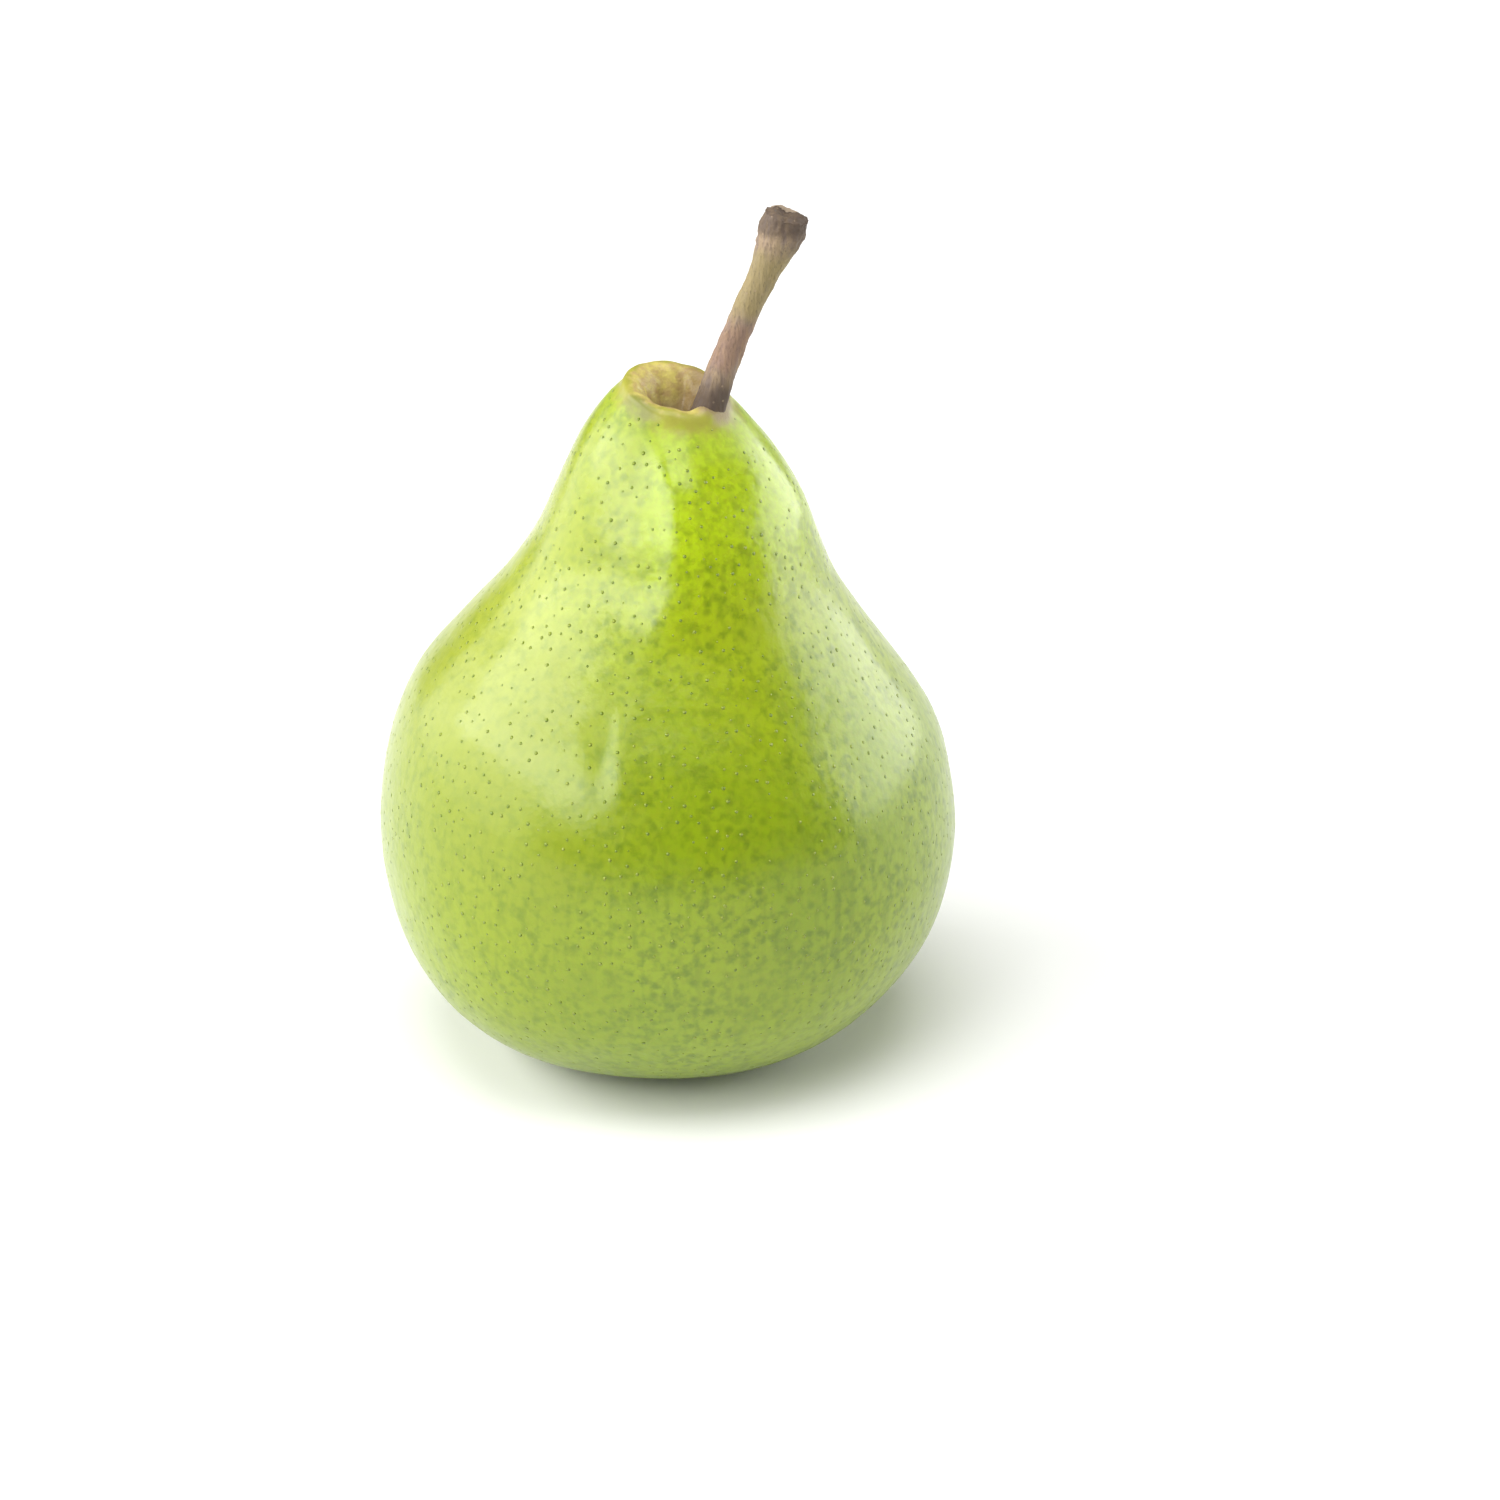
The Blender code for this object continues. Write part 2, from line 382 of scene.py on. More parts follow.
# %% Driving sizes of the stem
STEM_LINE = [
    (4.0, -2.3, 75.0, 2.1),
    (4.8, -2.3, 78.4, 2.2),
    (6.0, -2.1, 82.3, 1.95),
    (8.0, -1.5, 88.1, 1.75),
    (9.6, -1.2, 91.9, 1.7),
    (11.6, -0.8, 96.3, 1.8),
    (13.1, -0.7, 99.8, 2.3),
    (14.0, -0.7, 102.1, 2.75),
    (14.5, -0.7, 103.8, 2.65),
]
STEM_AT_RIM = STEM_LINE[2]
STEM_LEAN_AT_RIM = (STEM_LINE[2][0] - STEM_LINE[1][0]) / (STEM_LINE[2][2] - STEM_LINE[1][2])

# %% [markdown]
# ## The skin's colours
#
# The skin of this pear is bright green turning yellow where it caught the sun. Up close it isn't one green:
# soft yellow clouds the size of a thumbnail, darker mottles a millimetre or two across, and fine grain
# between them. In the hollow round the stem and in the basin underneath, the skin has turned to cork, called
# russet, which is tan and rough. All of this is worked out from the place on the pear, with no pictures, so
# it holds from every side. A painted picture could be sharper, but it would only suit one view.

# %% Material helpers
def new_material(name):
    """A material with its shader, and a Field source: places in millimetres from the fruit's axis."""
    material = bpy.data.materials.new(name)
    material.use_nodes = True
    tree = material.node_tree
    shader = tree.nodes["Principled BSDF"]
    coordinates = node(tree, "ShaderNodeTexCoord").outputs["Object"]
    place = scaled(tree, coordinates, 1.0 / MM)
    return material, tree, shader, vector_math(tree, "SUBTRACT", place, (axis_x, axis_y, 0.0))


def blend(tree, share, first, second, way="MIX"):
    """Colours first and second, mixed by the share of the second."""
    made = node(tree, "ShaderNodeMix", data_type="RGBA", blend_type=way)
    for index, value in zip((0, 6, 7), (share, first, second)):
        feed(made.inputs[index], (*value, 1.0) if isinstance(value, tuple) else value)
    return made.outputs[2]


def spots(tree, place, scale, radius, soft):
    """1 inside round spots strewn at random and 0 outside, with a random number for each spot."""
    made = node(tree, "ShaderNodeTexVoronoi", {"Vector": place, "Scale": scale, "Randomness": 1.0})
    inside = Field(made.outputs["Distance"]).ramp(radius, radius - soft)
    return inside, parts(tree, made.outputs["Color"])[0]


def bumpy(tree, shader, height, strength, depth):
    made = node(tree, "ShaderNodeBump", {"Height": height, "Strength": strength, "Distance": depth * MM})
    feed(shader.inputs["Normal"], made.outputs[0])


# %% Colours of the skin and its cork
SKIN_GREEN = (0.275, 0.37, 0.003)
SKIN_LIGHT = (0.315, 0.405, 0.004)
SKIN_YELLOW = (0.28, 0.32, 0.010)
# A brighter copy of the green, painted light on the neck.
SKIN_PAINTED_LIGHT = (0.385, 0.525, 0.004)
SKIN_MOTTLE = (0.15, 0.225, 0.002)
# Painted shade: multiplies the lower half darker.
BASE_PAINTED_SHADE = (0.82, 0.875, 0.6)
LIP_TAN = (0.31, 0.285, 0.035)
# Painted shade: the dark olive of the lip's front left.
PAINTED_SHADE_OLIVE = (0.17, 0.165, 0.025)
RUSSET_LIGHT = (0.54, 0.46, 0.11)
RUSSET_TAN = (0.43, 0.31, 0.11)
RUSSET_BROWN = (0.26, 0.185, 0.10)
RUSSET_STAIN = (0.25, 0.165, 0.06)
HOLLOW_MIDDLE_X = 1.8
print("palest and darkest skin:", SKIN_PAINTED_LIGHT, SKIN_MOTTLE)


# %% Greens and mottles
def mottled_green(tree, place):
    """The skin's colour without its cork, and where the round spots are."""
    x, y, z = parts(tree, place)
    clouds = noise(tree, place, 0.055, 3.0, 0.4)
    colour = blend(tree, clouds.ramp(0.38, 0.66), SKIN_GREEN, SKIN_LIGHT)
    # The side that faced the sun is yellower, and the right side of the neck is painted brighter: painted
    # light.
    sunny = (x + (clouds - 0.5) * 24.0).ramp(4.0, -22.0) * z.ramp(12.0, 48.0, 0.35, 1.0)
    colour = blend(tree, sunny * 0.85, colour, SKIN_YELLOW)
    neck_painted_light = z.ramp(58.0, 70.0) * (x + clouds * 6.0).ramp(-1.0, 6.0)
    colour = blend(tree, neck_painted_light * 0.9, colour, SKIN_PAINTED_LIGHT)
    # Mottles: soft darker flecks, more in some places than in others, and faint streaks down the sides.
    patchy = noise(tree, place, 0.10, 1.0).ramp(0.35, 0.60, 0.6, 1.0)
    mottled = patchy * (1.0 - sunny * 0.55) * (1.0 - neck_painted_light * 0.3)
    flecks = noise(tree, place, 0.85, 3.0, 0.2).ramp(0.40, 0.74)
    colour = blend(tree, flecks * mottled * 0.95, colour, SKIN_MOTTLE)
    drawn_out = vector_math(tree, "MULTIPLY", place, (1.0, 1.0, 0.12))
    streaks = noise(tree, drawn_out, 0.8, 2.0).ramp(0.48, 0.70)
    colour = blend(tree, streaks * mottled * 0.4, colour, SKIN_MOTTLE)
    round_spots, spot_number = spots(tree, place, 0.50, 0.40, 0.34)
    colour = blend(tree, round_spots * spot_number.ramp(0.1, 0.7) * mottled, colour, SKIN_MOTTLE)
    grain = noise(tree, place, 1.9, 2.0)
    colour = blend(tree, grain.ramp(0.42, 0.68) * 0.35, colour, SKIN_YELLOW)
    # The lower half is painted darker and a deeper green downwards: painted shade.
    colour = blend(tree, (z + clouds * 8.0).ramp(67.0, 40.0), colour, BASE_PAINTED_SHADE, "MULTIPLY")
    return colour, round_spots


# %% Russet
def stem_middle_x(z):
    """Where the stem's middle line runs, near the rim, at a height."""
    return (z - STEM_AT_RIM[2]) * STEM_LEAN_AT_RIM + STEM_AT_RIM[0]


def russeted(tree, place, colour):
    """Adds cork in the hollow, round the stem and in the basin, with painted shade in the hollow. Gives
    colour, cork and dullness.
    """
    x, y, z = parts(tree, place)
    rough_edge = (noise(tree, place, 0.8, 3.0) - 0.5) * 2.4
    from_hollow = distance(x - HOLLOW_MIDDLE_X, y) + rough_edge
    at_top = z.ramp(72.0, 77.0)
    cork_grain = noise(tree, place, 0.9, 3.0).ramp(0.35, 0.65)
    # The lip of the hollow is only half corked and tan; a dark olive patch at its front left is painted
    # shade.
    lip = from_hollow.ramp(8.0, 6.4) * at_top
    lip_painted_shade = x.ramp(0.5, -2.0) * y.ramp(-2.0, -4.0)
    colour = blend(tree, lip * 0.85, colour, blend(tree, lip_painted_shade, LIP_TAN, PAINTED_SHADE_OLIVE))
    # The hollow's cork is painted darker downwards, as painted shade in the recess, and has a brown stain at
    # its back right.
    cork = from_hollow.ramp(6.2, 4.9) * at_top
    cork_colour = blend(tree, cork_grain, RUSSET_LIGHT, RUSSET_TAN)
    # Painted shade: darker brown deeper in the hollow.
    depth = z.ramp(82.0, 78.6)
    cork_colour = blend(tree, depth * 0.8, cork_colour, RUSSET_BROWN)
    stained = (x + rough_edge).ramp(0.6, 3.8) * y.ramp(-0.5, 3.0)
    cork_colour = blend(tree, stained * 0.9, cork_colour, RUSSET_STAIN)
    colour = blend(tree, cork, colour, cork_colour)
    # The basin underneath.
    basin_cork = (distance(x, y) + rough_edge).ramp(9.0, 5.0) * z.ramp(9.5, 8.7)
    basin_colour = blend(tree, cork_grain, RUSSET_TAN, RUSSET_BROWN)
    colour = blend(tree, basin_cork, colour, basin_colour)
    # A dark brown ring where the flesh holds the stem's foot: cork, and painted shade where the stem meets
    # the fruit.
    from_stem = distance(x - stem_middle_x(z), y - STEM_AT_RIM[1])
    stem_ring_cork_and_shade = (from_stem + rough_edge * 0.3).ramp(3.3, 2.2) * at_top
    colour = blend(tree, stem_ring_cork_and_shade * 0.8, colour, RUSSET_BROWN)
    corky = cork.math("MAXIMUM", basin_cork).math("MAXIMUM", stem_ring_cork_and_shade)
    dull = corky.math("MAXIMUM", from_hollow.ramp(10.5, 7.5) * at_top * 0.7)
    return colour, corky, dull


# %% The finished skin material
def green_skin():
    material, tree, shader, place = new_material("green_skin")
    colour, round_spots = mottled_green(tree, place)
    colour, corky, dull = russeted(tree, place, colour)
    feed(shader.inputs["Base Color"], colour)
    # The neck is the smoothest and shiniest part, and cork is dull.
    height = parts(tree, place)[2]
    roughness = noise(tree, place, 0.35, 2.0).ramp(0.3, 0.7, 0.29, 0.36) + height.ramp(56.0, 66.0) * -0.06
    feed(shader.inputs["Roughness"], roughness + dull * 0.4)
    pores = noise(tree, place, 1.7, 3.0)
    peel = noise(tree, place, 0.8, 2.0)
    cork_crumbs = corky * noise(tree, place, 3.0, 4.0)
    bumpy(tree, shader, peel + pores * 0.5 + round_spots * 0.3 + cork_crumbs * 2.0, 0.5, 0.10)
    shader.inputs["Subsurface Weight"].default_value = 0.12
    shader.inputs["Subsurface Radius"].default_value = (1.0, 1.0, 0.25)
    shader.inputs["Subsurface Scale"].default_value = 1.2 * MM
    shader.inputs["IOR"].default_value = 1.45
    shader.inputs["Coat Weight"].default_value = 0.30
    shader.inputs["Coat Roughness"].default_value = 0.18
    return material


skin_material = green_skin()
print("skin nodes:", len(skin_material.node_tree.nodes))

# %% [markdown]
# ## The skin
#
# One geometry tree grows the fruit. A flat grid is the cloth: its X runs round the fruit, and its Y runs
# down the outline. Each grid point reads the outline at its share of the way down and turns about the axis,
# which makes a lathe with even spacing. Then growth acts on it: lobes, lean, the sloping rim, soft dents as
# wide as a fingertip, pleats in the hollow and round the calyx, a soft rib down the neck, a short crease on
# the belly, and a collar where flesh climbs the stem. The tree works in millimetres and shrinks to metres at
# its end. A Screw modifier would turn the outline as well, but the growth would then need a second tool.

# %% A rolled cloth
SEAM = 0.001


def rolled_cloth(tree, given):
    """A unit grid, each point's turn round the axis, and its share of the way down the outline."""
    columns, rows = given["Sides"] + 1.0, given["Rows"] + 1.0
    size = {"Size X": 1.0, "Size Y": 1.0, "Vertices X": columns, "Vertices Y": rows}
    cloth = node(tree, "GeometryNodeMeshGrid", size).outputs[0]
    across, down, _ = parts(tree, position(tree))
    return cloth, (across + 0.5) * -math.tau, down + 0.5


def merged(tree, geometry):
    """Joins the points that lie on each other: the seam and the two poles of a rolled cloth."""
    return node(tree, "GeometryNodeMergeByDistance", {"Geometry": geometry, "Distance": SEAM}).outputs[0]


# %% What growth does to the skin
RIB_DIRECTION, RIB_WIDTH = math.radians(-93.0), math.radians(16.0)
CREASE_DIRECTION, CREASE_WIDTH = math.radians(-101.0), math.radians(2.6)
# The curve x * exp(-x * x / 2) peaks at 1 / 1.65, so this brings its peak to 1.
RIB_PEAK = 1.65


def lobed(turn, lobes):
    """The swelling of a few waves round the fruit, at a turn."""
    total = 0.0
    for waves, share, direction in lobes:
        total = total + (turn * float(waves) - math.radians(waves * direction)).math("COSINE") * share
    return total


def rib_across(facing, direction, width):
    """A soft hollow on one side of a direction and a soft ridge on its other side, both 1 at most."""
    aside = (facing - direction) / width
    return aside * (aside * aside * -0.5).math("EXPONENT") * RIB_PEAK


def pleated(direction, count, wander):
    """Folds that fan out from a middle, with an unsteady spacing."""
    return (direction * count + wander).math("COSINE")


def skin_relief(tree, given):
    """How the skin moves along its normal: dents, ripples, pleats, the neck's rib and the belly's crease."""
    place = position(tree)
    x, y, z = parts(tree, place)
    clear_of_ground = z.ramp(1.5, 9.0)
    dents = (noise(tree, place, 0.065, 1.0) - 0.5) * given["Dents"] * clear_of_ground
    ripples = (noise(tree, place, 0.28, 2.0) - 0.5) * given["Ripples"] * clear_of_ground
    wander = noise(tree, place, 0.25, 1.0) * 5.0
    from_middle = x - HOLLOW_MIDDLE_X
    out = distance(from_middle, y)
    in_hollow = out.ramp(0.6, 2.4) * out.ramp(7.5, 4.0) * z.ramp(74.0, 78.0)
    folds = pleated(y.math("ARCTAN2", from_middle), 9.0, wander) * in_hollow
    facing = y.math("ARCTAN2", x)
    base_out = distance(x, y)
    in_basin = base_out.ramp(2.2, 4.0) * base_out.ramp(8.4, 6.0) * z.ramp(6.5, 5.0)
    base_folds = pleated(facing, 11.0, wander) * in_basin
    pleats = (folds + base_folds) * given["Pleats"]
    on_neck = z.ramp(57.0, 64.0) * z.ramp(81.0, 74.0)
    rib = rib_across(facing, RIB_DIRECTION, RIB_WIDTH) * given["Rib"] * on_neck
    on_belly = z.ramp(42.0, 47.0) * z.ramp(54.0, 50.0)
    crease = rib_across(facing, CREASE_DIRECTION, CREASE_WIDTH) * given["Crease"] * on_belly
    normal = node(tree, "GeometryNodeInputNormal").outputs[0]
    return scaled(tree, normal, dents + ripples + pleats + rib + crease)


def stem_collar(x, y, z, collar_height):
    """Raises the flesh where it closes round the stem's foot."""
    gap = distance(x - stem_middle_x(z), y - STEM_AT_RIM[1]) - STEM_AT_RIM[3]
    return gap.ramp(1.7, -0.2) * z.ramp(74.0, 77.0) * collar_height


# %% Grow the fruit
FRUIT_SIZES = {
    "Sides": 300,
    "Rows": 290,
    "Dents": 0.35,
    "Ripples": 0.10,
    "Pleats": 0.11,
    "Collar": 0.30,
    "Rib": 0.66,
    "Crease": 0.15,
}


def fruit_tree(material):
    tree, given = new_tree("Grown fruit", FRUIT_SIZES)
    outline = node(tree, "GeometryNodeMeshToCurve", {"Mesh": given["Geometry"]}).outputs[0]
    cloth, turn, share = rolled_cloth(tree, given)
    sample = node(tree, "GeometryNodeSampleCurve", {"Curves": outline, "Factor": share}, mode="FACTOR")
    radius, lean, height = parts(tree, sample.outputs["Position"])
    swell = lobed(turn, BODY_LOBES) + height.ramp(*BASE_LOBES_FADE) * lobed(turn, BASE_LOBES)
    grown = radius * (swell * radius.ramp(LOBE_FREE_RADIUS, LOBE_FULL_RADIUS) + 1.0)
    x, y = grown * turn.math("COSINE"), grown * turn.math("SINE")
    slope = height.ramp(RIM_SLOPE_FROM, RIM_SLOPE_TO)
    z = height + slope * (y * RIM_RISE_Y - x * RIM_FALL_X)
    whole = merged(tree, moved(tree, cloth, Position=vector(tree, x + lean, y, z)))
    relief = moved(tree, whole, Offset=skin_relief(tree, given))
    x, y, z = parts(tree, position(tree))
    raised = z + stem_collar(x, y, z, given["Collar"])
    standing = vector(tree, x + axis_x, y + axis_y, raised.math("MAXIMUM", 0.0))
    close_tree(tree, moved(tree, relief, Position=scaled(tree, standing, MM)), material)
    return tree


skin = made_by(fruit_tree(skin_material), "skin", outline_mesh)


# %% The skin's volume, open edges and box
ML_IN_CUBIC_METRE = 1e6


def volume_and_gaps(piece):
    """The volume in millilitres, below 0 if a piece is inside out, and the number of open edges."""
    editing = bmesh.new()
    editing.from_mesh(piece.data)
    open_edges = sum(1 for edge in editing.edges if not edge.is_manifold)
    volume = editing.calc_volume(signed=True)
    editing.free()
    return round(volume * ML_IN_CUBIC_METRE, 4), open_edges


print("skin volume in ml and open edges:", volume_and_gaps(skin))
print("skin box in mm:", box_of(skin))

# %% Hand-over
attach(skin, "root")
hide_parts("fruit")

# %% [markdown]
# ## Dots on the skin
#
# A pear breathes through lenticels, pinhead-small corky dots, some thousands on a fruit. They stand a hair
# above the skin. A geometry tree strews them over the finished skin, at least a millimetre apart, and lays
# each one flat on its own spot. Painting them would be quicker, but real dots also catch the light.

# %% What the dots are made of
DOT_COLOUR = (0.26, 0.32, 0.02)


def dot_skin():
    """Corky like russet, but as shiny as the skin round it."""
    material, tree, shader, place = new_material("dot_cork")
    colour = blend(tree, noise(tree, place, 1.3, 1.0).ramp(0.35, 0.65), DOT_COLOUR, SKIN_MOTTLE)
    feed(shader.inputs["Base Color"], colour)
    feed(shader.inputs["Roughness"], noise(tree, place, 6.0, 2.0).ramp(0.3, 0.7, 0.28, 0.42))
    bumpy(tree, shader, noise(tree, place, 12.0, 2.0), 0.3, 0.03)
    shader.inputs["Coat Weight"].default_value = 0.3
    shader.inputs["Coat Roughness"].default_value = 0.2
    return material


# %% Strew the dots
DOT_SIZES = {
    "Apart": 1.15,
    "Smallest": 0.12,
    "Largest": 0.28,
    "Flatness": 0.07,
    "Seed": 7,
}
MOST_DOTS_PER_SQUARE_METRE = 600000.0


def random_between(tree, low, high, seed):
    """A random number for each point or copy, always the same for the same seed."""
    made = node(tree, "FunctionNodeRandomValue", {"Seed": seed}, data_type="FLOAT")
    feed(made.inputs[2], low)
    feed(made.inputs[3], high)
    return Field(made.outputs[1])


def dots_tree(material):
    tree, given = new_tree("Strewn dots", DOT_SIZES)
    place = scaled(tree, position(tree), 1.0 / MM)
    x, y, height = parts(tree, place)
    from_hollow = distance(x - (axis_x + HOLLOW_MIDDLE_X), y - axis_y)
    strewn = node(tree, "GeometryNodeDistributePointsOnFaces", {
        "Mesh": given["Geometry"],
        "Selection": height.ramp(2.5, 3.5) * from_hollow.ramp(6.8, 7.6),
        "Distance Min": given["Apart"] * MM,
        "Density Max": MOST_DOTS_PER_SQUARE_METRE,
        "Density Factor": noise(tree, place, 0.12, 1.0).ramp(0.3, 0.6, 0.35, 1.0),
        "Seed": given["Seed"],
    }, distribute_method="POISSON")
    dome = node(tree, "GeometryNodeMeshIcoSphere", {"Radius": MM, "Subdivisions": 1}).outputs[0]
    width = random_between(tree, given["Smallest"], given["Largest"], given["Seed"])
    placed = node(tree, "GeometryNodeInstanceOnPoints", {
        "Points": strewn.outputs["Points"],
        "Instance": dome,
        "Rotation": strewn.outputs["Rotation"],
        "Scale": vector(tree, width, width, width * given["Flatness"]),
    }).outputs[0]
    close_tree(tree, placed, material)
    return tree


dot_cork = dot_skin()
print("dot nodes:", len(dot_cork.node_tree.nodes))
dots = made_by(dots_tree(dot_cork), "dots", skin.data.copy())
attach(dots, "root")

# %% [markdown]
# ## The stem
#
# The stalk is wood under thin bark: grey brown, with tan, olive and reddish stretches and long low ridges.
# At its top it swells to the knob that broke off the twig, and the break is a dark, slightly hollow face.
# The same lathe idea makes it, but the cloth now follows the stem's own line: every grid point reads the
# line's place and direction, and steps out from it by the thickness there.

# %% A cloth wrapped round a line
AHEAD = (0.0, 1.0, 0.0)


def wrapped(tree, given, line, foot, end, value_name):
    """A grid rolled round a line. Gives the grid, its turn, and the line's place, value and directions."""
    cloth, turn, share = rolled_cloth(tree, given)
    curve = node(tree, "GeometryNodeMeshToCurve", {"Mesh": line}).outputs[0]
    stored = node(tree, "GeometryNodeInputNamedAttribute", {"Name": value_name}, data_type="FLOAT")
    at = ((share - foot) / (end - foot)).math("MINIMUM", 1.0).math("MAXIMUM", 0.0)
    sample = node(tree, "GeometryNodeSampleCurve",
                  {"Curves": curve, "Factor": at, "Value": stored.outputs["Attribute"]}, mode="FACTOR")
    along = sample.outputs["Tangent"]
    beside = vector_math(tree, "NORMALIZE", vector_math(tree, "CROSS_PRODUCT", along, AHEAD))
    front = vector_math(tree, "CROSS_PRODUCT", beside, along)
    closing = share.ramp(0.0, foot) * share.ramp(1.0, end)
    return {
        "cloth": cloth,
        "cosine": turn.math("COSINE"),
        "sine": turn.math("SINE"),
        "share": share,
        "at": at,
        "closing": closing,
        "place": sample.outputs["Position"],
        "value": Field(sample.outputs["Value"]),
        "along": along,
        "beside": beside,
        "front": front,
    }


def steps_out(tree, roll, beside, front, along):
    """The place reached from the line by the given steps in its three directions."""
    place = vector_math(tree, "ADD", roll["place"], scaled(tree, roll["beside"], beside))
    place = vector_math(tree, "ADD", place, scaled(tree, roll["front"], front))
    return vector_math(tree, "ADD", place, scaled(tree, roll["along"], along))


def kept(tree, geometry, name, value):
    """Stores a value on the points, for the material to read."""
    return node(tree, "GeometryNodeStoreNamedAttribute",
                {"Geometry": geometry, "Name": name, "Value": value}, data_type="FLOAT").outputs[0]


def relieved(tree, geometry, height):
    """Moves points along their normals by a height in millimetres."""
    normal = node(tree, "GeometryNodeInputNormal").outputs[0]
    return moved(tree, geometry, Offset=scaled(tree, normal, height))


def to_metres(tree, geometry):
    """Takes a piece made in millimetres about the fruit's axis to its place in the frame."""
    standing = vector_math(tree, "ADD", position(tree), (axis_x, axis_y, 0.0))
    return moved(tree, geometry, Position=scaled(tree, standing, MM))


# %% Bark
BARK_GREY = (0.20, 0.145, 0.11)
BARK_TAN = (0.31, 0.225, 0.14)
BARK_OLIVE = (0.27, 0.215, 0.085)
BARK_RED = (0.24, 0.135, 0.09)
BARK_DARK = (0.065, 0.042, 0.028)
END_DARK = (0.09, 0.06, 0.04)
PITH = (0.30, 0.23, 0.16)


def stem_bark():
    material, tree, shader, place = new_material("bark")
    x, y, z = parts(tree, place)
    stretched = vector_math(tree, "MULTIPLY", place, (1.0, 1.0, 0.22))
    streaks = noise(tree, stretched, 1.6, 4.0, 0.3)
    fine = noise(tree, stretched, 6.0, 3.0)
    patches = noise(tree, place, 0.30, 2.0)
    colour = blend(tree, streaks.ramp(0.36, 0.64), BARK_GREY, BARK_TAN)
    # Olive on the upper half, reddish on the lower, dark at the knob, and painted shade at the foot and on
    # the knob's right.
    olive_height = z + patches * 5.0
    olive = olive_height.ramp(93.5, 96.0) * olive_height.ramp(103.5, 101.0)
    colour = blend(tree, olive * 0.75, colour, BARK_OLIVE)
    red_height = z + patches * 4.0
    red = red_height.ramp(87.0, 89.0) * red_height.ramp(94.5, 92.0)
    colour = blend(tree, red * 0.55, colour, BARK_RED)
    # Painted shade at the foot, where the stem goes into the hollow.
    colour = blend(tree, z.ramp(86.5, 82.5) * 0.85, colour, BARK_DARK)
    colour = blend(tree, z.ramp(101.2, 102.6) * 0.7, colour, BARK_DARK)
    colour = blend(tree, fine.ramp(0.52, 0.72) * 0.45, colour, BARK_DARK)
    # Painted shade on the knob's right side, away from the light.
    knob_painted_shade = z.ramp(96.5, 99.5) * x.ramp(14.2, 16.4)
    colour = blend(tree, knob_painted_shade * 0.7, colour, BARK_DARK)
    specks, number = spots(tree, place, 1.1, 0.20, 0.10)
    colour = blend(tree, specks * number.ramp(0.45, 0.8) * 0.6, colour, BARK_TAN)
    face = Field(node(tree, "ShaderNodeAttribute", attribute_name="end_face").outputs["Fac"])
    grain = noise(tree, place, 3.0, 3.0)
    face_colour = blend(tree, grain.ramp(0.35, 0.7), END_DARK, BARK_DARK)
    face_colour = blend(tree, (face + grain * 0.3).ramp(0.85, 1.05), face_colour, PITH)
    colour = blend(tree, face.ramp(0.02, 0.16), colour, face_colour)
    feed(shader.inputs["Base Color"], colour)
    feed(shader.inputs["Roughness"], streaks.ramp(0.3, 0.7, 0.55, 0.8))
    bumpy(tree, shader, fine * 0.7 + noise(tree, place, 9.0, 3.0) * 0.5, 0.6, 0.08)
    shader.inputs["Specular IOR Level"].default_value = 0.4
    return material


# %% Grow the stem
# The shares of the cloth at which the foot has closed in and the end face begins.
STEM_FOOT, STEM_END = 0.015, 0.93
STEM_SIZES = {
    "Sides": 112,
    "Rows": 300,
    "Ridges": 0.22,
    "Wrinkles": 0.12,
    "Knob bumps": 0.35,
    "Lip": 0.40,
    "Crater": 0.85,
}


def stem_tree(material):
    tree, given = new_tree("Grown stem", STEM_SIZES)
    roll = wrapped(tree, given, given["Geometry"], STEM_FOOT, STEM_END, "thickness")
    face = roll["share"].ramp(STEM_END, 1.0)
    rise = face.ramp(0.0, 0.35) * given["Lip"] - face.ramp(0.2, 0.9) * given["Crater"]
    radius = (roll["value"] - given["Ridges"] * 0.4) * roll["closing"]
    round_line = steps_out(tree, roll, radius * roll["cosine"], radius * roll["sine"], rise)
    tube = moved(tree, roll["cloth"], Position=round_line)
    # A fault: by this step the points have moved, so the share is read from the wrong place, and the
    # stem's back gets the end face's colours. Storing it on the cloth, before the move, would cure it.
    tube = merged(tree, kept(tree, tube, "end_face", face))
    place = position(tree)
    drawn_out = vector_math(tree, "MULTIPLY", place, (1.0, 1.0, 0.16))
    ridges = (noise(tree, drawn_out, 0.75, 1.0) - 0.5) * given["Ridges"] * 2.0
    wrinkles = (noise(tree, drawn_out, 3.0, 2.0) - 0.5) * given["Wrinkles"] * 2.0
    at_knob = parts(tree, place)[2].ramp(98.0, 101.5)
    knob = (noise(tree, place, 0.85, 2.0) - 0.5) * at_knob * given["Knob bumps"] * 2.0
    tube = relieved(tree, tube, ridges + wrinkles + knob)
    close_tree(tree, to_metres(tree, tube), material)
    return tree


stem_points = smooth_line(STEM_LINE, 12)
stem_line = line_mesh("stem_line", stem_points[:, :3], thickness=stem_points[:, 3])
bark = stem_bark()
print("bark nodes:", len(bark.node_tree.nodes))
stem = made_by(stem_tree(bark), "stalk", stem_line)
print("stem volume in ml and open edges:", volume_and_gaps(stem))
print("stem box in mm:", box_of(stem))
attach(stem, "root")
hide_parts("stem")

# %% [markdown]
# ## The dried flower underneath
#
# A pear keeps the remains of its flower in the basin at its base: five dry, curled sepals and a tuft of
# withered stamens inside them. The sepals use the wrapped cloth again, pressed flat to the width of a leaf.
# Its cross-section bends up at both sides, its edge wanders and its surface crumples, and a Seed input makes
# each of the five different. The stamens repeat, so they are instances of one bent thread with a knob.

# %% Dried matter
DRY_BROWN = (0.13, 0.075, 0.04)
DRY_TAN = (0.30, 0.20, 0.11)
DRY_BLACK = (0.035, 0.022, 0.014)


